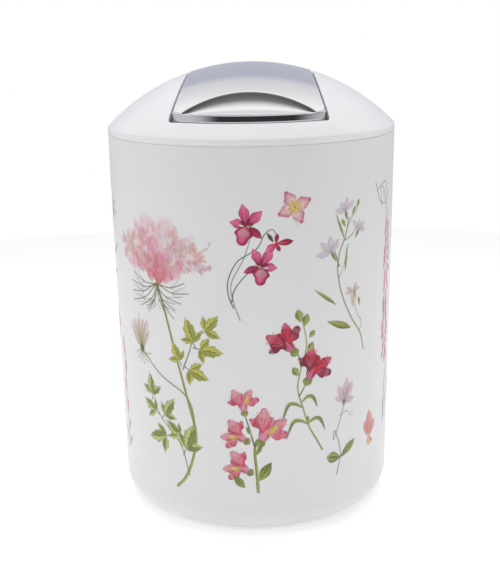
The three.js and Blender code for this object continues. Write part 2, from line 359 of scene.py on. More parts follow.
# ---- Materials ----
def new_material(name):
    material = bpy.data.materials.new(name)
    material.use_nodes = True
    tree = material.node_tree
    return material, tree, tree.nodes["Principled BSDF"]


def noise(tree, scale, detail=3.0, roughness=0.55):
    made = node(tree, "ShaderNodeTexNoise")
    made.inputs["Scale"].default_value = scale
    made.inputs["Detail"].default_value = detail
    made.inputs["Roughness"].default_value = roughness
    place = node(tree, "ShaderNodeTexCoord").outputs["Object"]
    tree.links.new(place, made.inputs["Vector"])
    return made.outputs["Fac"]


def bump(tree, height, strength, distance, shader):
    made = node(tree, "ShaderNodeBump")
    made.inputs["Strength"].default_value = strength
    made.inputs["Distance"].default_value = distance
    tree.links.new(height, made.inputs["Height"])
    tree.links.new(made.outputs["Normal"], shader.inputs["Normal"])


def spread(tree, source, low, high):
    """The middle of a noise's range stretched over low to high."""
    made = node(tree, "ShaderNodeMapRange")
    for name, value in (("From Min", 0.3), ("From Max", 0.7), ("To Min", low), ("To Max", high)):
        made.inputs[name].default_value = value
    tree.links.new(source, made.inputs["Value"])
    return made.outputs["Result"]


def mixed(tree, factor, first, second, blend="MIX"):
    """Two colours, or sockets, mixed by a factor, or by a socket."""
    made = node(tree, "ShaderNodeMix", data_type="RGBA", blend_type=blend)
    for name, value in (("Factor", factor), ("A", first), ("B", second)):
        if isinstance(value, bpy.types.NodeSocket):
            tree.links.new(value, made.inputs[name])
        else:
            made.inputs[name].default_value = value if name == "Factor" else (*value, 1)
    return made.outputs["Result"]


def moulded_plastic(name, colour, gloss, painted=False):
    """Injection-moulded plastic: a faint cloudiness in its colour, an uneven satin gloss and the
    shallow ripple of a moulded wall. A painted piece multiplies its colour by its print."""
    material, tree, shader = new_material(name)
    cloud = spread(tree, noise(tree, 9, 1), 0, 1)
    base = mixed(tree, cloud, [c * 0.985 for c in colour], colour)
    if painted:
        ink = node(tree, "ShaderNodeVertexColor", layer_name="print")
        base = mixed(tree, 1, base, ink.outputs["Color"], "MULTIPLY")
    tree.links.new(base, shader.inputs["Base Color"])
    polish = spread(tree, noise(tree, 60, 4), gloss * 0.85, gloss * 1.2)
    tree.links.new(polish, shader.inputs["Roughness"])
    bump(tree, noise(tree, 900, 2), 0.05, 0.0002, shader)
    shader.inputs["IOR"].default_value = 1.5
    return material


def plated(name):
    """Bright chrome over moulded plastic: a mirror with a very slight waviness and fine haze."""
    material, tree, shader = new_material(name)
    cloud = spread(tree, noise(tree, 25), 0, 1)
    tint = mixed(tree, cloud, (0.81, 0.81, 0.83), (0.83, 0.83, 0.85))
    tree.links.new(tint, shader.inputs["Base Color"])
    shader.inputs["Metallic"].default_value = 1
    haze = spread(tree, noise(tree, 200, 5), 0.03, 0.07)
    tree.links.new(haze, shader.inputs["Roughness"])
    bump(tree, noise(tree, 35, 1), 0.06, 0.0006, shader)
    return material


def turned_steel(name):
    material, tree, shader = new_material(name)
    tint = mixed(tree, spread(tree, noise(tree, 80), 0, 1), (0.55,) * 3, (0.66,) * 3)
    tree.links.new(tint, shader.inputs["Base Color"])
    shader.inputs["Metallic"].default_value = 1
    grind = spread(tree, noise(tree, 1500, 4), 0.22, 0.38)
    tree.links.new(grind, shader.inputs["Roughness"])
    bump(tree, noise(tree, 2500, 2), 0.08, 0.0001, shader)
    return material


BODY_WHITE = (0.815, 0.807, 0.81)
LID_WHITE = (0.89, 0.878, 0.9)
MATERIALS = {
    "container": moulded_plastic("container_plastic", BODY_WHITE, 0.35),
    "print": moulded_plastic("printed_container", BODY_WHITE, 0.35, painted=True),
    "lid": moulded_plastic("lid_plastic", LID_WHITE, 0.22),
    "flap_inner": moulded_plastic("carrier_plastic", (0.78, 0.78, 0.78), 0.5),
    "flap_plating": plated("chrome_plating"),
    "pin": turned_steel("pin_steel"),
}


def floor_paper():
    """Pale paper under the bin, with the faintest unevenness, lit a little so that it stays
    white in the studio."""
    material, tree, shader = new_material("floor_paper")
    paper = noise(tree, 6, 3)
    tree.links.new(spread(tree, paper, 0.88, 0.92), shader.inputs["Roughness"])
    tint = ramp(tree, paper, [(0.3, 0.895), (0.7, 0.905)])
    tree.links.new(tint, shader.inputs["Base Color"])
    shader.inputs["Emission Color"].default_value = (1, 1, 1, 1)
    shader.inputs["Emission Strength"].default_value = FLOOR_GLOW
    return material


def add_floor():
    edge = np.linspace(0, 2 * math.pi, 128, endpoint=False)
    points = [(STAGE_RADIUS * math.cos(a), STAGE_RADIUS * math.sin(a), -FLOOR_DROP) for a in edge]
    mesh = bpy.data.meshes.new("floor")
    mesh.from_pydata(points, [], [tuple(range(len(points)))])
    mesh.materials.append(floor_paper())
    floor = bpy.data.objects.new("floor", mesh)
    bpy.context.scene.collection.objects.link(floor)


# ---- Container ----
def wall_radius(height):
    return BASE_RADIUS + height * WALL_SLOPE


def add_container():
    inside_floor = BASE_RADIUS + BODY_WALL * WALL_SLOPE - BODY_WALL
    rim = wall_radius(PARTING_HEIGHT)
    corners = [
        (0, BASE_RECESS, 0),
        (FOOT_INSIDE - BASE_STEP, BASE_RECESS, 1.5),
        (FOOT_INSIDE, 0, 1.5),
        (BASE_RADIUS, 0, BASE_FILLET),
        (rim, PARTING_HEIGHT, 0.3),
        (rim - BODY_WALL, PARTING_HEIGHT, 0.3),
        (inside_floor, BODY_WALL, BASE_FILLET - BODY_WALL),
        (FOOT_INSIDE, BODY_WALL, 1.5),
        (FOOT_INSIDE - BASE_STEP, BODY_WALL + BASE_RECESS, 1.5),
        (0, BODY_WALL + BASE_RECESS, 0),
    ]
    piece = turned("container", rounded(corners), "container", MATERIALS["container"])
    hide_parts("container_body")


# ---- The flower print: painted motifs on thin patches that follow the wall ----
PITCH = 0.34  # between the canvas's points
PATCH_LIFT = 0.04  # how far a patch stands off the wall
INK = {
    "rose": "ee93ad", "blush": "f6c4cc", "peach": "efb7a4", "coral": "ea5a58", "crimson": "dd3257",
    "lilac": "e3c6dd", "mist": "d5bfd2", "mauve": "b9a0b8", "sage": "c3cba6", "wine": "8e1c3c",
    "magenta": "d8427c", "hotpink": "f983b4", "pink": "f58cb4", "plum": "7c1432", "scarlet": "dc3440",
    "amber": "eeb056", "yellow": "eee06a", "cream": "fbf3da", "white": "ffffff", "salmon": "f29c84",
    "olive": "a3a144", "lime": "d8da6c", "moss": "7f8b3e", "leaf": "b4c066", "pale": "d2dc92",
    "stem": "8c905c", "dark": "47502e", "bluegreen": "93aa78", "umber": "6f6a4a", "tan": "bfae84",
    "cerise": "ea5578", "shell": "f5a6b2",
}


def light(name):
    """An ink's colour in linear light."""
    digits = INK[name]
    shown = np.array([int(digits[k : k + 2], 16) for k in (0, 2, 4)]) / 255
    return np.where(shown <= 0.04045, shown / 12.92, ((shown + 0.055) / 1.055) ** 2.4)


def smooth_curve(points, spacing=0.9):
    """A Catmull-Rom curve through points, as more points; extra columns are smoothed alike."""
    points = np.asarray(points, float)
    padded = np.vstack([2 * points[0] - points[1], points, 2 * points[-1] - points[-2]])
    curve = []
    for p0, p1, p2, p3 in zip(padded, padded[1:], padded[2:], padded[3:]):
        steps = max(2, math.ceil(np.linalg.norm((p2 - p1)[:2]) / spacing))
        t = (np.arange(steps) / steps)[:, None]
        curve.append(
            p1
            + t * (p2 - p0) / 2
            + t**2 * (p0 - 2.5 * p1 + 2 * p2 - p3 / 2)
            + t**3 * (1.5 * (p1 - p2) + (p3 - p0) / 2)
        )
    return np.vstack([*curve, points[-1:]])


def blur(field, times):
    for _ in range(times):
        for axis in (0, 1):
            field = (np.roll(field, 1, axis) + 2 * field + np.roll(field, -1, axis)) / 4
    return field


class Canvas:
    """A rectangle of the wall, unrolled: x runs round the bin to the right and y is height, in
    millimetres. It holds how much red, green and blue light its ink lets through."""

    def __init__(self, low, high, seed):
        self.low = np.array(low, float)
        self.size = np.ceil((np.array(high) - self.low) / PITCH).astype(int) + 1
        self.ink = np.ones((*self.size, 3))
        self.random = np.random.default_rng(seed)
        grain = blur(self.random.normal(size=self.size), 2)
        self.grain = grain / np.abs(grain).max()

    def stroke(self, line, first, last, soft=0.3, strength=1.0, edge=0.25, shade=0.2, grain=0.25,
               teeth=0, vein=0.0):
        """Paints one brush stroke along (x, y, width) points. Its colour runs from the first ink
        to the last, darker by edge at its rim and by shade on its left side; teeth notch its
        rim and vein darkens its middle line."""
        curve = smooth_curve(line)
        reach = curve[:, 2].max() / 2 + soft
        low = np.floor((curve[:, :2].min(0) - reach - self.low) / PITCH).astype(int).clip(0)
        high = np.ceil((curve[:, :2].max(0) + reach - self.low) / PITCH).astype(int) + 1
        high = np.minimum(high, self.size)
        if np.any(high <= low):
            return
        window = tuple(slice(a, b) for a, b in zip(low, high))
        across, up = (self.low[k] + PITCH * np.arange(low[k], high[k]) for k in (0, 1))
        spot = np.stack(np.meshgrid(across, up, indexing="ij"), -1)
        nearest = np.full(spot.shape[:2], 1e9)
        along, side = np.zeros_like(nearest), np.zeros_like(nearest)
        count = len(curve) - 1
        for k, (a, b) in enumerate(zip(curve[:, :2], curve[1:, :2])):
            step = b - a
            share = ((spot - a) @ step / max(step @ step, 1e-9)).clip(0, 1)
            off = spot - a - share[..., None] * step
            distance = np.hypot(off[..., 0], off[..., 1])
            closer = distance < nearest
            nearest = np.where(closer, distance, nearest)
            along = np.where(closer, (k + share) / count, along)
            side = np.where(closer, np.sign(step[0] * off[..., 1] - step[1] * off[..., 0]), side)
        half = np.interp(along, np.linspace(0, 1, count + 1), curve[:, 2].clip(0.02)) / 2
        if teeth:
            half = half * (1 - 0.32 * ((1 - along) * teeth % 1))
        cover = ((half - nearest) / soft + 0.5).clip(0, 1)
        cover = cover * cover * (3 - 2 * cover) * strength * np.minimum(1, half / soft + 0.35)
        u = (nearest / half).clip(0, 1)
        tone = light(first) + (light(last) - light(first)) * along[..., None]
        dim = 1 - edge * u**4 - shade * u * (side > 0) - vein * (u < 0.18) * (half > 0.8)
        tone = tone ** (1 + 0.9 * (1 - dim))[..., None] * dim[..., None]
        tone = tone * (1 + grain * self.grain[window])[..., None]
        under = self.ink[window]
        self.ink[window] = under + (tone.clip(0, 1) - under) * cover[..., None]


class Pen:
    """Draws on a canvas in its own place, turn (degrees anticlockwise) and size."""

    def __init__(self, canvas, x=0.0, y=0.0, turn=0.0, size=1.0, flip=1):
        self.canvas, self.random, self.size, self.flip = canvas, canvas.random, size, flip
        self.place, self.angle = np.array([x, y], float), math.radians(turn)
        c, s = math.cos(self.angle), math.sin(self.angle)
        self.axes = size * np.array([[c * flip, -s], [s * flip, c]])

    def at(self, x, y, turn=0.0, size=1.0, flip=1):
        place = self.place + self.axes @ (x, y)
        angle = math.degrees(self.angle) + self.flip * turn
        return Pen(self.canvas, *place, angle, self.size * size, self.flip * flip)

    def stroke(self, line, first, last=None, **style):
        line = np.asarray(line, float)
        flat = line[:, :2] @ self.axes.T + self.place
        widths = line[:, 2:] * self.size
        self.canvas.stroke(np.hstack([flat, widths]), first, last or first, **style)

    def wobble(self, amount):
        return self.random.uniform(-amount, amount)

    def petal(self, length, width, first, last, tip=0.0, bend=0.0, belly=0.6, **style):
        """A petal or leaf from the origin upwards, widest at belly, ending in a tip width."""
        self.stroke(
            [
                (0, 0, width * 0.12),
                (bend * 0.1, length * belly * 0.5, width * 0.72),
                (bend * 0.35, length * belly, width),
                (bend * 0.7, length * (0.5 + belly / 2), width * 0.72),
                (bend, length, width * tip),
            ],
            first, last, **style,
        )

    def fan(self, turns, *petal, **style):
        """Alike petals from the origin, one at each turn."""
        for turn in turns:
            self.at(0, 0, turn).petal(*petal, **style)

    def stem(self, *points, width=0.9, first="stem", last=None, **style):
        """A stalk through points, a little thinner towards its end."""
        taper = np.linspace(width, width * 0.7, len(points))
        self.stroke([(*p, w) for p, w in zip(points, taper)], first, last,
                    **{"soft": 0.35, "edge": 0.2, "shade": 0.45, **style})


def leaflet(pen, length, first="lime", last="olive", width=0.62):
    """A notched leaflet with one half in shadow and a mid vein."""
    pen.petal(length, length * width, first, first, belly=0.45, teeth=3, shade=0.1, edge=0.3)
    pen.at(length * 0.1, 0).petal(length * 0.94, length * width * 0.5, last, last, belly=0.42,
                                  teeth=4, shade=0.1, edge=0.3, strength=0.85)
    pen.stem((0, 0), (0, length * 1.06), width=0.45, first="moss", last="dark", strength=0.75)


def toothed_leaf(pen, size, first="lime", last="olive"):
    """Three leaflets on a short stalk."""
    pen.stem((0, -4 * size), (0, 0), width=0.8, first="stem")
    for turn, length in ((62, 7.5), (-60, 7.5), (0, 12)):
        leaflet(pen.at(0, 0, turn + pen.wobble(9), size), length + pen.wobble(1.5), first, last)


def umbel(pen):
    """A broad, rounded flower head of many soft dabs over thin forked bracts."""
    for x, y, width, ink in ((-22, 9, 18, "blush"), (-8, 14, 24, "blush"), (-23, 6, 14, "rose"),
                             (-6, 8, 26, "blush"), (9, 13, 24, "blush"), (12, 5, 18, "rose"),
                             (23, 11, 16, "blush"), (-13, 14, 14, "rose")):
        pen.at(x, y).petal(width, width, ink, ink, tip=0.6, soft=6, strength=0.5, edge=0, shade=0)
    inks = ["blush", "rose", "peach", "lilac", "blush", "sage", "white", "rose", "white", "cream"]
    for k in range(240):
        x = pen.random.uniform(-34, 34)
        y = pen.random.uniform(3 + 0.25 * abs(x), 38 - 0.4 * abs(x))
        pick = pen.random.choice(inks)
        dab = pen.at(x, y, -x + pen.wobble(50))
        dab.petal(pen.random.uniform(3, 9), pen.random.uniform(2, 6.5), pick, pick, tip=0.5,
                  soft=1.1, strength=pen.random.uniform(0.2, 0.6), edge=0.1, shade=0.1)
    for k in range(34):
        dab = pen.at(pen.random.uniform(12, 42), pen.random.uniform(9, 28), pen.wobble(80))
        dab.petal(pen.random.uniform(3, 6), pen.random.uniform(1.2, 2.6),
                  pen.random.choice(["salmon", "rose", "sage", "coral"]), "blush", soft=0.6,
                  strength=0.5)
    for x, y, turn, length, width, ink, strength in (
        (-12, 6, 26, 13, 9, "rose", 0.55), (12, 4, -34, 15, 9, "rose", 0.5),
        (-14, 8, 30, 10, 6, "magenta", 0.35), (0, 10, 6, 18, 15, "rose", 0.5),
        (2, 0, -4, 18, 14, "coral", 0.7), (-4, 1, 10, 11, 7, "crimson", 0.6),
        (7, 1, -20, 11, 7, "crimson", 0.55), (2, 0, 0, 13, 8, "scarlet", 0.6),
    ):
        pen.at(x, y, turn).petal(length, width, ink, "rose", tip=0.5, belly=0.45, soft=2.6,
                                 strength=strength, edge=0)
    for k in range(40):
        pen.at(2 + pen.wobble(12), pen.random.uniform(1, 16), pen.wobble(45)).petal(
            pen.random.uniform(3, 6), 1.6, pen.random.choice(["crimson", "wine", "coral", "blush"]),
            "rose", soft=0.9, strength=0.35)
    for turn, length in ((-62, 24), (-50, 30), (-38, 24), (-24, 20), (-10, 22), (8, 18), (20, 25),
                         (36, 24), (54, 22), (72, 24), (88, 22), (-78, 26), (-92, 24)):
        bract = pen.at(pen.wobble(2), 0, 180 + turn)
        bend = math.copysign(length * 0.16, turn)
        length = length + pen.wobble(2)
        bract.stem((0, 0), (bend * 0.2, length * 0.5), (-bend, length), width=0.85, first="stem",
                   last="dark", strength=0.85)
        for fork in (-1, 1):
            bract.stem((bend * 0.2, length * 0.5), (fork * 2.2, length * 0.68),
                       (fork * 3.4 - bend, length * 0.86), width=0.5, first="stem",
                       last="umber", strength=0.7)


def bristle_bud(pen):
    """A closed pale head in long upright bracts."""
    pen.fan(range(-26, 27, 13), 18, 6.5, "sage", "blush", soft=1.2, strength=0.6, tip=0.4)
    for turn in (-38, -26, -14, -4, 8, 20, 34):
        pen.at(0, 0, turn + pen.wobble(3)).stem((0, 0), (math.copysign(1.2, turn), 9),
                                                (0, 19 + pen.wobble(4)), width=0.8,
                                                first="moss", last="leaf", strength=0.7)
    for turn in (100, 125, 150, 178, 205, 230, 255):
        pen.at(0, 0, turn).stem((0, 0), (0.5, 4), (-0.6, 8), width=0.7, first="leaf",
                                last="stem", strength=0.8)
    pen.at(0, -1).petal(4, 4.5, "moss", "dark", tip=0.4)


def queen_sprig(pen):
    """The tall sprig: an umbel, a bud and two kinds of leaf on one curving stem."""
    pen.stem((-17, 0), (-10, 8), (-4, 22), (-1, 40), (-6, 62), (-14, 92), (-22, 122), (-28, 140),
             width=2.1, first="leaf", last="olive")
    pen.stem((-3, 26), (-2, 50), (-8, 66), (-28, 77), (-46, 91), width=1.2, first="leaf",
             last="stem")
    pen.stem((-7, 10), (-12, 28), (-18, 36), (-32, 50), (-37, 66), width=0.8)
    for x, y, turn, size in ((-38, 62, 6, 1.25), (-35, 50, 66, 1.2), (-26, 50, -36, 1.3),
                             (-26, 34, 112, 1.4), (-15, 37, 48, 1.15), (-9, 29, -22, 1.45)):
        toothed_leaf(pen.at(x, y, turn), size, "pale", "moss")
    pen.stem((-9, 84), (-4, 96), (-1, 104), (6, 112), width=0.9)
    for x, y, turn, size in ((8, 112, -48, 1.25), (-1, 104, 20, 1.3), (4, 99, -100, 1.2),
                             (-12, 90, 30, 1.0), (-4, 84, -118, 1.25)):
        toothed_leaf(pen.at(x, y, turn), size)
    umbel(pen.at(-28, 139))
    bristle_bud(pen.at(-46, 90, 8, 1.15))


def violet(pen):
    """A five-petalled flower, dark at its throat, with a round white-veined lip."""
    for turn, length, width in ((6, 12.5, 6.8), (-52, 12, 6.6), (74, 9.5, 6.2)):
        petal = pen.at(0, 0, turn)
        petal.petal(length, width, "magenta", "hotpink", tip=0.3, belly=0.64, edge=0.3)
        for x in (-0.16, 0.16):
            petal.at(x * width, 1).stem((0, 0), (0, length * 0.7), width=0.5, first="crimson",
                                        last="magenta", strength=0.55)
    pen.at(1.5, -1, -138).petal(11, 5, "wine", "magenta", belly=0.5, edge=0.4)
    lip = pen.at(-0.5, 0, 162)
    lip.petal(9.5, 11.5, "crimson", "magenta", tip=0.62, belly=0.62, edge=0.45)
    lip.at(0, 1.5).petal(7, 7.5, "white", "hotpink", tip=0.6, belly=0.6, soft=1.6, strength=0.6,
                         edge=0)
    for turn in (-30, -15, 0, 15, 30):
        lip.at(0, 0.5, turn).stem((0, 1.5), (0, 6.5), width=0.5, first="crimson", last="plum",
                                  strength=0.65)
    pen.fan((-30, 44, 96, -84), 5, 2.4, "plum", "wine", soft=0.7, strength=0.85)
    pen.at(-1.4, -0.6, 70).petal(3.4, 1.3, "white", "cream", tip=0.5)


def violet_sprig(pen):
    """Three violets on thin crossing stalks."""
    pen.stem((-3, 8), (-6, 16), (-6, 26), (0, 38), (12, 46), (17, 55), (22, 58), (25, 53),
             width=0.75, first="dark", last="umber")
    pen.stem((1, 0), (-3, 12), (-4, 24), (4, 40), (8, 52), width=0.7, first="stem",
             last="umber", strength=0.85)
    pen.stem((-4, 12), (-2, 20), (6, 30), (13, 33), width=0.75, first="dark", last="umber")
    violet(pen.at(6, 61, 4))
    violet(pen.at(15, 35, -26, 0.95, -1))
    side = pen.at(24, 49, -2, 0.95)
    side.at(-1.5, 1, 36).petal(7, 2.6, "dark", "umber", tip=0.4)
    for turn, length, width in ((-82, 12, 4.4), (-8, 7, 3), (-150, 6, 3)):
        side.at(0, 0, turn).petal(length, width, "crimson", "wine", edge=0.3)
    side.at(0, 0, 132).petal(7.5, 5.4, "crimson", "hotpink", tip=0.5)
    side.at(0.5, 0.5, -86).petal(8, 1.2, "rose", "magenta", soft=0.5, strength=0.6)


def square_blossom(pen):
    """A pale four-petalled flower with a yellow eye and dark petal tips."""
    pen.stem((0, 0), (2, -8), (6, -12), width=0.6, first="sage", strength=0.8)
    for turn in (45, 135, 225, 315):
        petal = pen.at(0, 0, turn + pen.wobble(6))
        petal.petal(11.5, 9.5, "blush", "rose", tip=0.35, belly=0.58, edge=0.1, shade=0.15)
        petal.petal(9.5, 7, "cream", "blush", tip=0.35, belly=0.5, soft=1.6, edge=0)
        petal.at(0.8, 10.4).petal(2.2, 1.7, "magenta", "wine", soft=0.7, strength=0.6, tip=0.5)
    pen.fan(range(0, 360, 40), 5.6, 2.2, "yellow", "amber", soft=0.5, strength=0.75)
    pen.at(0, -0.6).petal(1.6, 1.6, "moss", "amber", tip=0.6)


def lilac_flower(pen, size=1.0):
    """A faint flower of four spread petals on a green tube."""
    pen.at(0, -8 * size).petal(9 * size, 2.3, "leaf", "moss", tip=0.3, shade=0.4)
    for turn in (-62, -22, 20, 64):
        length = (11 + pen.wobble(1.5)) * size
        pen.at(0, 0, turn).petal(length, 5.2 * size, "mist", "lilac", tip=0.35, belly=0.66,
                                 soft=0.7, strength=0.55, vein=0.2)
    for turn in (-30, -5, 25):
        pen.at(0, 0, turn).stem((0, 0), (0, 5 * size), width=0.5, first="mauve", strength=0.6)


def lilac_spray(pen):
    """A loose spray with faint flowers, buds and narrow leaves."""
    pen.stem((0, 0), (-4, 12), (-14, 26), (-22, 42), (-26, 58), (-25, 70), (-20, 82), (-17, 94),
             width=1.1, first="leaf", last="stem")
    pen.stem((-5, 14), (-3, 20), (-8, 27), (-10, 34), width=0.6, first="stem", strength=0.8)
    pen.stem((-21, 79), (-14, 82), (-8, 88), width=0.7, first="stem")
    pen.stem((-25, 54), (-21, 62), (-17, 76), width=0.6, first="stem", strength=0.7)
    pen.stem((-18, 88), (-14, 94), (-9, 99), width=0.6, first="stem", strength=0.8)
    pen.stem((-25, 62), (-27, 68), (-29, 73), width=1.0, first="moss")
    lilac_flower(pen.at(-31, 72, 30), 0.95)
    lilac_flower(pen.at(-20, 98, 14), 0.75)
    lilac_flower(pen.at(-8, 84, -30), 0.7)
    for x, y, turn, length, width in ((-27, 36, 48, 22, 2.4), (-14, 18, 64, 22, 5),
                                      (-21, 80, 16, 20, 1.8), (-20, 58, -12, 19, 1.7)):
        pen.at(x, y, turn).petal(length, width, "olive", "leaf", bend=-2, belly=0.4, shade=0.45)
    for x, y, turn in ((-14, 95, -26), (-10, 99, -22), (-20, 88, 30), (-10, 38, 10), (-5, 32, 14)):
        pen.at(x, y, turn).petal(6.5, 2.4, "leaf", "olive", edge=0.3)
    bloom = pen.at(-12, 38, 4)
    bloom.at(0, 5).fan((-84, -44, 48, 84), 7, 2.6, "tan", "peach", soft=0.5, strength=0.65,
                       bend=-1)
    bloom.at(0, -6).fan((-12, 6), 11, 3.2, "sage", "peach", soft=0.8, strength=0.6)


def bell_string(pen):
    """A hanging string of small pink bells below green loops."""
    pen.stem((0, 0), (6, -10), (10, -26), (10, -60), (9, -112), width=0.6, first="sage",
             strength=0.9)
    pen.stem((-12, 8), (-6, -4), (2, -8), (8, -4), (4, 6), (-4, 4), (-2, -10), width=0.7,
             first="stem", strength=0.9)
    pen.stem((-10, 2), (-2, 4), (6, -6), (11, -18), width=0.7, first="leaf", strength=0.9)
    for k in range(34):
        side = 1 if k % 2 else -1
        bell = pen.at(10 + side * 1.6, -18 - 2.9 * k, 180 + side * pen.random.uniform(4, 42))
        ink = pen.random.choice(["rose", "magenta", "pink"] if k < 18 else ["magenta", "crimson"])
        bell.petal(pen.random.uniform(6, 10), pen.random.uniform(2.6, 4.6), "rose", ink, tip=0.5,
                   belly=0.66, soft=0.5, strength=0.85, edge=0.3)
        bell.at(0, 0.2).petal(2, 1.4, "sage", "stem", strength=0.7)


def snapdragon(pen, dark=True):
    """A tubular flower seen from the side: a folded hood over a spread lip, on a green cup."""
    tube, shadow, hood, lip, gleam, throat = (
        ("magenta", "plum", "wine", "crimson", "rose", "scarlet") if dark
        else ("rose", "crimson", "cerise", "shell", "blush", "amber")
    )
    pen.petal(16, 8, tube, lip, tip=0.8, belly=0.7, edge=0.4, shade=0.3)
    for x in (-2.2, -0.8, 0.8):
        pen.at(x, 2, 3 * x).stem((0, 0), (x * 0.4, 9), width=0.7, first="lilac", last="pink",
                                 shade=0, strength=0.8)
    pen.at(2.4, 2, -6).petal(11, 2.6, shadow, shadow, soft=0.7, strength=0.4)
    for x, y, turn, length, width, first, last, tip in (
        (-2.5, 11, 74, 8.5, 5.5, hood, shadow, 0.4), (2.5, 9, -78, 9.5, 8, lip, hood, 0.6),
        (3, 11.5, -36, 10, 7, lip, lip, 0.35), (-1.5, 8, 14, 13.5, 10.5, hood, lip, 0.4),
    ):
        petal = pen.at(x, y, turn + pen.wobble(6))
        petal.petal(length, width, first, last, tip=tip, belly=0.6, edge=0.3)
        for bend in (-44, -15, 15, 44):
            frill = petal.at(0, length * 0.66, bend + pen.wobble(8))
            frill.petal(length * 0.36, width * 0.34, last, gleam, tip=0.6, soft=0.7, strength=0.5)
        for bend in (-24, 0, 24):
            fold = petal.at(0, length * 0.18, bend + pen.wobble(5))
            fold.petal(length * 0.62, width * 0.15, gleam, last, soft=0.8, strength=0.5)
            fold.at(0.9, 0.5).petal(length * 0.5, 0.8, shadow, shadow, soft=0.6, strength=0.45)
    pen.at(1.8, 8.5, -30).petal(6.5, 4.4, throat, throat if dark else "yellow", tip=0.6, soft=0.8,
                                strength=0.85)
    pen.at(0.2, 10.5, -20).petal(5, 1.2, shadow, shadow, soft=0.5, strength=0.6)
    pen.at(0, -1.5).fan((-28, 0, 28), 5.5, 3.2, "leaf", "moss", edge=0.4)


def snap_bud(pen, length=8):
    pen.petal(length, length * 0.62, "pale", "olive", belly=0.5, edge=0.35, shade=0.3)
    pen.at(0, 0, 12).petal(length * 0.8, length * 0.22, "olive", "moss", soft=0.5, strength=0.7)


def dark_snapdragons(pen):
    """Two dark flowers on a budded stem with narrow curled leaves."""
    pen.stem((1, 0), (-4, 9), (-9, 18), (-13, 30), (-17, 45), (-15, 58), (-11, 74), (-13.5, 90),
             width=1.1, first="olive", last="leaf")
    pen.stem((-15, 60), (-16, 66), (-17, 69), width=1.0, first="stem")
    pen.stem((-16, 40), (-13, 45), (-12, 48), width=1.0, first="stem")
    snapdragon(pen.at(-18, 69, 44, 1.0))
    snapdragon(pen.at(-11, 48, -24, 1.05))
    for x, y, turn, length in ((-15, 90, 14, 9), (-12.5, 87, -14, 8.5), (-9, 79, -40, 6),
                               (-10, 70, -34, 7), (-16.5, 54, 34, 7.5)):
        snap_bud(pen.at(x, y, turn), length)
    for x, y, side, reach, drop in ((-14, 32, -1, 14, 10), (-10, 20, -1, 15, 9),
                                    (-10, 20, 1, 13, 6), (-14, 36, 1, 11, 5)):
        leaf = [(0, 0, 1), (side * reach * 0.35, 3, 2.2), (side * reach * 0.7, 2, 2.4),
                (side * reach, -drop, 0.5)]
        pen.at(x, y).stroke(leaf, "leaf", "moss", shade=0.4)
    pen.at(-10, 20).petal(6, 2.4, "leaf", "olive")


def pink_snapdragons(pen):
    """A cluster of open pink flowers with yellow throats over a leafy stem."""
    pen.stem((3, 0), (2, 16), (1, 28), (2, 35), width=2.2, first="leaf", last="olive")
    pen.stem((1, 32), (-2, 43), (-5, 54), width=1.1, first="umber")
    for x, y, turn, size, flip in ((-5, 54, 12, 0.8, 1), (-3, 35, 54, 0.85, -1),
                                   (4, 33, -24, 1.1, 1), (-1, 13, 56, 0.88, -1)):
        snapdragon(pen.at(x, y, turn, size, flip), dark=False)
    for x, y, turn, length, width in ((4, 8, -32, 15, 7), (-6, 3, 42, 11, 5.5),
                                      (2, 26, -28, 9, 3), (-1, 40, 30, 7, 2.6)):
        pen.at(x, y, turn).petal(length, width, "leaf", "moss", belly=0.45, edge=0.3, vein=0.3)


def curled_bloom(pen):
    """A pale bud on a thin curling stalk over two soft leaves."""
    pen.stem((-6, -10), (-3, 6), (-8, 22), (-9, 16), (-4, 28), (-2, 34), (0, 40), width=0.7,
             first="umber", strength=0.85)
    pen.stem((-4, 32), (2, 34), (6, 30), (8, 35), width=0.5, first="umber", strength=0.7)
    for turn, length, width in ((62, 10, 3.4), (24, 14, 5), (-8, 17, 5.5), (-30, 15, 5.5), (-84, 9, 5)):
        pen.at(0, 41, turn).petal(length, width, "mauve", "blush", soft=0.6, strength=0.62,
                                  vein=0.2)
    pen.at(-0.5, 38).petal(5, 3, "moss", "dark", soft=0.5, strength=0.8)
    pen.at(-3, 2, -54).petal(17, 6, "bluegreen", "leaf", belly=0.55, vein=0.45, edge=0.3)
    pen.at(-3, 2, 78).petal(12, 8, "bluegreen", "leaf", belly=0.6, vein=0.45, edge=0.3)


def coral_bud(pen):
    """A small flame-shaped coral bud."""
    for x, turn, length, width in ((0, 3, 19, 8), (-4, 22, 13, 6), (4, -24, 12, 6)):
        pen.at(x * 0.4, 0, turn).petal(length, width, "coral", "salmon", soft=0.6,
                                       strength=0.75, vein=0.2)
    pen.at(0, 1, 176).petal(9, 6, "salmon", "amber", soft=0.6, strength=0.75)
    pen.at(1, -2, -140).petal(6, 2.6, "coral", "salmon", soft=0.5, strength=0.7)


def meadow_grass(pen):
    """Loose dark green blades."""
    for x, turn, length in ((0, -4, 52), (3, -12, 30), (2, 10, 22)):
        pen.at(x, 0, turn).petal(length, 1.8, "dark", "bluegreen", bend=3, strength=0.8)


def magenta_spike(pen):
    """Slim upright buds, one above another."""
    pen.stem((0, 0), (1, 20), (0, 44), (2, 74), width=0.8, first="stem")
    for y, turn, length, width in ((62, 4, 15, 3), (46, -10, 15, 4), (34, 14, 13, 4.4),
                                   (20, -8, 11, 4)):
        pen.at(0, y + 6, turn).petal(length, width, "magenta", "rose", soft=0.5, strength=0.8)
    for y, turn in ((4, 28), (10, -24), (0, -36)):
        pen.at(0, y, turn).petal(14, 2.6, "sage", "bluegreen", strength=0.75)


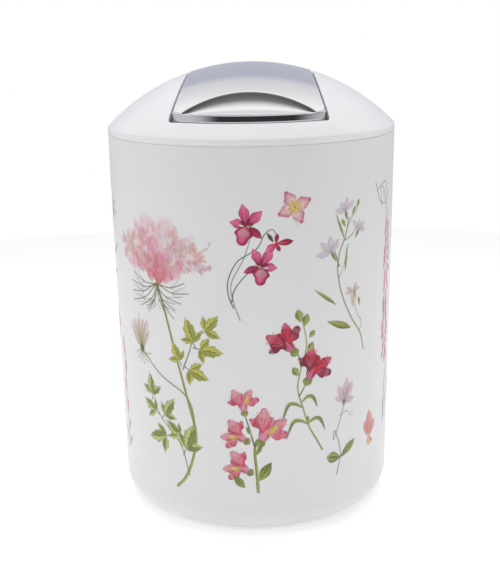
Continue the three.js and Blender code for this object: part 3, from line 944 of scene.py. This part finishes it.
PRINT_RADIUS = 96.5  # motifs are unrolled at this radius
PRINT_REACH = 85  # a motif's canvas reaches this far to either side of its place
PRINT_BOTTOM = 19
PRINT_TOP = PARTING_HEIGHT - 2
BARE = 0.985  # a spot that lets through more light than this carries no ink
PRINTS = [
    ("print_queen", queen_sprig, -38, 30, 0, 1, 1),
    ("print_violets", violet_sprig, -8, 150, 0, 1, 1),
    ("print_blossom", square_blossom, 28, 221.5, -16, 0.88, 1),
    ("print_spray", lilac_spray, 84, 120, 0, 0.97, 1),
    ("print_bells", bell_string, 107, 222, 0, 1, 1),
    ("print_dark_snapdragons", dark_snapdragons, 47, 57, 0, 1, 1),
    ("print_pink_snapdragons", pink_snapdragons, 0, 32, 0, 1, 1),
    ("print_curled_bloom", curled_bloom, 66, 46, 0, 1, 1),
    ("print_coral_bud", coral_bud, 94, 55, 0, 1, 1),
    ("print_grass", meadow_grass, 118, 56, 0, 1, 1),
    ("print_spike", magenta_spike, -116, 40, 0, 1, 1),
    ("print_violets_2", violet_sprig, 172, 138, 0, 1, -1),
    ("print_pink_snapdragons_2", pink_snapdragons, 158, 34, 0, 1, -1),
    ("print_blossom_2", square_blossom, 203, 224, 20, 1, 1),
    ("print_queen_2", queen_sprig, 222, 30, 0, 1, -1),
    ("print_spray_2", lilac_spray, 296, 126, 0, 1, -1),
    ("print_dark_snapdragons_2", dark_snapdragons, 296, 34, 0, 0.95, -1),
    ("print_bells_2", bell_string, 350, 224, 0, 0.95, -1),
    ("print_curled_bloom_2", curled_bloom, 350, 40, 0, 1, -1),
    ("print_coral_bud_2", coral_bud, 374, 122, 10, 1, -1),
    ("print_violets_3", violet_sprig, 382, 150, -6, 1, 1),
    ("print_pink_snapdragons_3", pink_snapdragons, 392, 34, 4, 1, 1),
    ("print_blossom_3", square_blossom, 428, 222, 40, 0.9, 1),
    ("print_dark_snapdragons_3", dark_snapdragons, 430, 44, 0, 1, -1),
    ("print_spray_3", lilac_spray, 450, 144, 0, 0.9, -1),
    ("print_grass_2", meadow_grass, 470, 50, 0, 1, -1),
    ("print_coral_bud_3", coral_bud, 474, 124, -8, 0.9, 1),
]


def add_print(name, painter, x, y, turn, size, flip, seed):
    """Paints one motif and lays it on the wall, keeping only the points that carry ink and one
    more all round."""
    canvas = Canvas((x - PRINT_REACH, PRINT_BOTTOM), (x + PRINT_REACH, PRINT_TOP), seed)
    painter(Pen(canvas, x, y, turn, size, flip))
    inked = canvas.ink.min(axis=2) < BARE
    for axis in (0, 1):
        inked = inked | np.roll(inked, 1, axis) | np.roll(inked, -1, axis)
    across, up = np.nonzero(inked)
    angle = (canvas.low[0] + PITCH * across) / PRINT_RADIUS
    height = canvas.low[1] + PITCH * up
    radius = wall_radius(height) + PATCH_LIFT
    points = np.stack([radius * np.sin(angle), -radius * np.cos(angle), height], 1)
    index = np.full(inked.shape, -1)
    index[across, up] = np.arange(len(across))
    quads = np.stack([index[:-1, :-1], index[1:, :-1], index[1:, 1:], index[:-1, 1:]], -1)
    quads = quads.reshape(-1, 4)
    quads = quads[quads.min(axis=1) >= 0]
    piece = new_piece(name, points, quads.tolist(), "container", MATERIALS["print"])
    ink = np.ones((len(points), 4), np.float32)
    ink[:, :3] = canvas.ink[across, up]
    layer = piece.data.color_attributes.new("print", "FLOAT_COLOR", "POINT")
    layer.data.foreach_set("color", ink.ravel())


# ---- The waisted outline that the opening and the flap share ----
def corner_place(end_radius, side_radius, corner):
    """The front right corner arc: its centre, and its angles where it meets the side and the
    end arc."""
    reach, side_reach = end_radius - corner, side_radius + corner
    x = (reach**2 - side_reach**2 + SIDE_CENTRE**2) / (2 * SIDE_CENTRE)
    y = math.sqrt(reach**2 - x**2)
    return x, y, math.atan2(-y, SIDE_CENTRE - x), math.atan2(y, x)


def outline(end_radius, waist, corner, spacing):
    """Points and outward normals round the outline, anticlockwise from the right-hand waist.
    The arcs are (centre, radius, first angle, last angle, +1 where the outline bulges out)."""
    side_radius = SIDE_CENTRE - waist
    x, y, to_side, to_end = corner_place(end_radius, side_radius, corner)
    arcs = []
    for sign, turn in ((1, 0), (-1, math.pi)):
        back = turn + math.pi
        side = (sign * SIDE_CENTRE, 0)
        near, far = (sign * x, sign * y), (-sign * x, sign * y)
        arcs += [
            (side, side_radius, back - to_side, back + to_side, -1),
            (near, corner, turn + to_side, turn + to_end, 1),
            ((0, 0), end_radius, turn + to_end, back - to_end, 1),
            (far, corner, back - to_end, back - to_side, 1),
        ]
    points, normals = [], []
    for (cx, cy), radius, first, last, bulge in arcs:
        steps = max(8, round(abs(last - first) * radius / spacing))
        angles = first + (last - first) * np.arange(steps) / steps
        ray = np.stack([np.cos(angles), np.sin(angles)], 1)
        points.append(np.array([cx, cy]) + radius * ray)
        normals.append(ray * bulge)
    return np.concatenate(points), np.concatenate(normals)


# ---- Lid ----
def edge_arc(height, slope, radius, steps=5):
    """A rounding between a vertical wall and a surface that leaves its top edge at a slope:
    (distance out from the wall, height) for each step."""
    lean = math.hypot(1, slope)
    centre = height + slope * radius - radius * lean
    angles = np.linspace(math.pi, math.atan2(1, -slope), steps)
    return np.stack([radius + radius * np.cos(angles), centre + radius * np.sin(angles)], 1)


def lid_section(point, normal):
    """One closed section of the lid, from the opening's edge out to the rim and back underneath,
    as (x, y, z) points; every section has the same number of points."""
    angle = math.atan2(point[1], point[0])
    ray = np.array([math.cos(angle), math.sin(angle)])
    distance = np.linalg.norm(point)
    top = float(dome_height(distance))
    slope = -distance / (top - DOME_CENTRE) * float(ray @ normal)
    section = []

    def on_edge(out, z):
        section.append((*(point + normal * out), z))

    def between(start, end, depth, steps):
        for share in (np.arange(steps) + 0.5) / steps:
            p = start + (end - start) * share
            section.append((*p, float(dome_height(np.linalg.norm(p), depth))))

    def on_rim(radius, z):
        section.append((*(ray * radius), z))

    for out, z in edge_arc(top, slope, OPENING_ROUNDING):
        on_edge(out, z)
    edge_out = section[-1][:2]
    rim_x = RIM_RADIUS - CREASE_ROUNDING
    reach = DOME_RADIUS - CREASE_ROUNDING
    rim_angle = math.acos(rim_x / reach)
    rim_z = DOME_CENTRE + reach * math.sin(rim_angle)
    crease = ray * (rim_x + CREASE_ROUNDING * math.cos(rim_angle) - 0.3)
    between(np.array(edge_out), crease, 0, 22)
    for k in range(7):
        a = rim_angle * (1 - k / 6)
        on_rim(rim_x + CREASE_ROUNDING * math.cos(a), rim_z + CREASE_ROUNDING * math.sin(a))
    skirt = PARTING_HEIGHT + SEAT_GAP
    underside = rounded(
        [
            (RIM_RADIUS, rim_z, 0),
            (RIM_RADIUS, skirt, 0.25),
            (PLUG_OUTSIDE, skirt, 0.3),
            (PLUG_OUTSIDE, PLUG_BOTTOM, 0.8),
            (PLUG_INSIDE, PLUG_BOTTOM, 0.8),
            (PLUG_INSIDE, float(dome_height(PLUG_INSIDE, LID_WALL)), 0),
        ],
        support=0.2,
    )[1:]
    for radius, z in underside:
        on_rim(radius, z)
    curb = point + normal * CURB_WALL
    between(ray * PLUG_INSIDE, curb, LID_WALL, 10)
    curb_top = float(dome_height(np.linalg.norm(curb), LID_WALL))
    curb_low = float(dome_height(distance, CURB_DEPTH))
    wall = rounded(
        [(CURB_WALL, curb_top, 0), (CURB_WALL, curb_low, 0.6), (0, curb_low, 0.6), (0, top, 0)],
        support=0.2,
    )
    for out, z in wall[:-1]:
        on_edge(out, z)
    return section


def add_lid():
    points, normals = outline(OPENING_END, OPENING_WAIST, OPENING_CORNER, spacing=1.3)
    sections = [lid_section(p, n) for p, n in zip(points, normals)]
    rows, columns = len(sections), len(sections[0])
    faces = grid_faces(rows, columns, wrap_rows=True, wrap_columns=True)
    flat = [p for section in sections for p in section]
    piece = new_piece("lid", flat, [f[::-1] for f in faces], "lid", MATERIALS["lid"])
    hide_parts("lid_dome")
    for sign, name in ((-1, "lid_bracket_left"), (1, "lid_bracket_right")):
        add_bracket(sign, name)


def add_bracket(sign, name):
    """One bearing bracket: a plate with round lower corners, bored for the hinge pin, its top
    buried in the lid's wall."""
    bottom = HINGE_HEIGHT - BRACKET_DROP
    inner_x, outer_x = OPENING_WAIST + 0.05, OPENING_WAIST + BRACKET_WALL
    top = float(dome_height(outer_x, LID_WALL / 2)) - 0.6
    turn = rounded(
        [(BRACKET_HALF, top, 0.3), (-BRACKET_HALF, top, 0.3),
         (-BRACKET_HALF, bottom, 4), (BRACKET_HALF, bottom, 4)],
        closed=True,
    )
    angles = np.arctan2(turn[:, 1] - HINGE_HEIGHT, turn[:, 0])
    hole = np.stack([PIN_BORE * np.cos(angles), HINGE_HEIGHT + PIN_BORE * np.sin(angles)], 1)
    edge = 0.35
    shrink = turn - edge * (turn - [0, HINGE_HEIGHT]) / np.linalg.norm(
        turn - [0, HINGE_HEIGHT], axis=1, keepdims=True
    )
    rings = [
        (hole, inner_x), (shrink, inner_x), (turn, inner_x + edge),
        (turn, outer_x - edge), (shrink, outer_x), (hole, outer_x),
    ]
    points = [(sign * x, y, z) for ring, x in rings for y, z in ring]
    faces = grid_faces(len(rings), len(turn), wrap_rows=True, wrap_columns=True)
    if sign > 0:
        faces = [f[::-1] for f in faces]
    piece = new_piece(name, points, faces, "lid", MATERIALS["lid"])


# ---- Flap ----
def scoop_top(x, depth=0.0):
    """How far out from the hinge line the finger scoop's top edge is."""
    corner = math.sqrt(FLAP_END**2 - SCOOP_HALF_WIDTH**2)
    return SCOOP_TOP + (corner - SCOOP_TOP) * np.square(x / SCOOP_HALF_WIDTH) - SCOOP_TOP_INSET * depth


def scoop_height(x, out, depth=0.0):
    """Height of the scoop: hollow and steep under its top edge, flattening into a narrow shelf
    along the lip."""
    top = scoop_top(x, depth)
    shelf = float(dome_height(FLAP_END)) - depth
    rise = np.maximum(dome_height(np.hypot(x, top), depth) - shelf, 0.01)
    foot = np.sqrt(np.maximum((FLAP_END - SHELF_WIDTH) ** 2 - np.square(x), 0))
    foot = np.maximum(foot - SCOOP_FOOT_INSET * depth, top + SCOOP_LEAST_LENGTH * rise)
    share = np.clip((foot - out) / (foot - top), 0, 1) * math.sin(SCOOP_SLOPE)
    hollow = (1 - np.sqrt(1 - share**2)) / (1 - math.cos(SCOOP_SLOPE))
    return shelf + rise * hollow


def skin_height(x, y, depth=0.0):
    """Height of the flap's surface, or of its underside depth inside it."""
    out = np.abs(y)
    dome = dome_height(np.hypot(x, y), depth)
    return np.where(out < scoop_top(x, depth), dome, scoop_height(x, out, depth))


def flap_grid(inset, depth):
    """Points of the flap's skin as (along, across, xyz): lines that run from the front edge to
    the rear one, bowed like the sides, with rows close together at the scoops' top edges."""
    waist = OPENING_WAIST - FLAP_SIDE_GAP - inset
    end_radius, corner = FLAP_END - inset, max(FLAP_LEAST_CORNER, FLAP_CORNER - inset)
    side_radius = SIDE_CENTRE - waist
    x, y, to_side, to_end = corner_place(end_radius, side_radius, corner)
    corner_angles = np.linspace(to_side, to_end, 9)[:-1]
    end_angles = np.linspace(to_end, math.pi - to_end, 91)
    right = np.stack([x + corner * np.cos(corner_angles), y + corner * np.sin(corner_angles)], 1)
    ends = end_radius * np.stack([np.cos(end_angles), np.sin(end_angles)], 1)
    left = right[::-1] * [-1, 1]
    columns = []
    for end_x, end_y in np.concatenate([right, ends, left]):
        def across(along):
            width = SIDE_CENTRE - np.sqrt(side_radius**2 - np.square(along))
            end_width = SIDE_CENTRE - math.sqrt(side_radius**2 - end_y**2)
            return end_x * width / end_width
        columns.append(flap_line(end_y, across, depth))
    return np.array(columns).transpose(1, 0, 2)


def flap_line(end_y, across, depth):
    """One line along the flap, from front to rear, with a point on each scoop's top edge."""
    top = end_y
    for _ in range(30):
        top = min(end_y, float(scoop_top(across(top), depth)))
    rest = end_y - top
    edge = min(0.4, rest / 4)
    dome = (top - edge) * np.concatenate([np.linspace(0, 0.96, 30), [0.985, 1]])
    tail = top + edge + (rest - edge) * np.linspace(0, 1, 26) ** 1.2
    half = np.concatenate([dome, [top], tail])
    along = np.concatenate([-half[:0:-1], half])
    xs = np.array([across(a) for a in along])
    zs = skin_height(xs, along, depth)
    if rest > 1:
        for k in (len(tail), len(along) - 1 - len(tail)):
            zs[k] = (zs[k - 1] + zs[k + 1] + 2 * zs[k]) / 4
    return np.stack([xs, along, zs], 1)


def ring_of(grid):
    """The indices round the border of a (rows, columns) grid, anticlockwise seen from above,
    from the front left corner."""
    rows, columns = grid.shape[:2]
    index = np.arange(rows * columns).reshape(rows, columns)
    return np.concatenate([index[0, ::-1], index[1:, 0], index[-1, 1:], index[-2:0:-1, -1]])


def add_flap():
    top = flap_grid(FLAP_ROUNDING, 0)
    under = flap_grid(FLAP_WALL, FLAP_WALL)
    rows, columns = top.shape[:2]
    points = np.concatenate([top.reshape(-1, 3), under.reshape(-1, 3)])
    faces = [f[::-1] for f in grid_faces(rows, columns)]
    faces += grid_faces(rows, columns, start=rows * columns)
    border = ring_of(top)
    top_edge, under_edge = points[border], points[border + rows * columns]
    flat = np.roll(top_edge[:, :2], -1, 0) - np.roll(top_edge[:, :2], 1, 0)
    out = np.stack([flat[:, 1], -flat[:, 0]], 1)
    out /= np.maximum(np.linalg.norm(out, axis=1, keepdims=True), 1e-9)
    out *= np.sign(np.sum(out * top_edge[:, :2]))
    wall = top_edge[:, :2] + out * FLAP_ROUNDING
    drop = np.abs(wall[:, 1]) - (FLAP_END - END_BOX - END_FADE / 2)
    drop = np.clip(drop / END_FADE, 0, 1)
    drop = drop * drop * (3 - 2 * drop)
    skirt = dome_height(np.linalg.norm(wall, axis=1), SIDE_SKIRT)
    bottom = skirt + (LIP_BOTTOM - skirt) * drop
    rings = []
    for k in range(1, 6):
        a = math.pi / 2 * k / 5
        rings.append((top_edge[:, :2] + out * FLAP_ROUNDING * math.sin(a),
                      top_edge[:, 2] - FLAP_ROUNDING * (1 - math.cos(a))))
    rings.append((wall, top_edge[:, 2] - FLAP_ROUNDING - 0.3))
    for inwards, rise in ((0, 0.7), (0, 0.4), (0.12, 0.12), (0.4, 0)):
        rings.append((wall - out * inwards, bottom + rise))
    for outwards, rise in ((0.3, 0), (0, 0.4)):
        rings.append((under_edge[:, :2] + out * outwards, bottom + rise))
    rings = [np.column_stack(ring) for ring in rings]
    start, size = len(points), len(border)
    points = np.concatenate([points, *rings])
    loops = [border] + [start + k * size + np.arange(size) for k in range(len(rings))]
    loops.append(border + rows * columns)
    for a, b in zip(loops, loops[1:]):
        for k in range(size):
            j = (k + 1) % size
            faces.append((a[k], a[j], b[j], b[k]))
    piece = new_piece("flap", points, faces, "flap", MATERIALS["flap_plating"])
    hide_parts("flap_shell")


def finish_cad_nodes():
    for name, slot in (
        ("flap_carrier", "flap_inner"),
        ("hinge_pin_left", "pin"),
        ("hinge_pin_right", "pin"),
    ):
        obj = frame["nodes"][name]
        for k in range(len(obj.material_slots)):
            obj.material_slots[k].material = MATERIALS[slot]


add_camera()
add_studio()
add_floor()
add_container()
for seed, motif in enumerate(PRINTS):
    add_print(*motif, seed)
add_lid()
add_flap()
finish_cad_nodes()
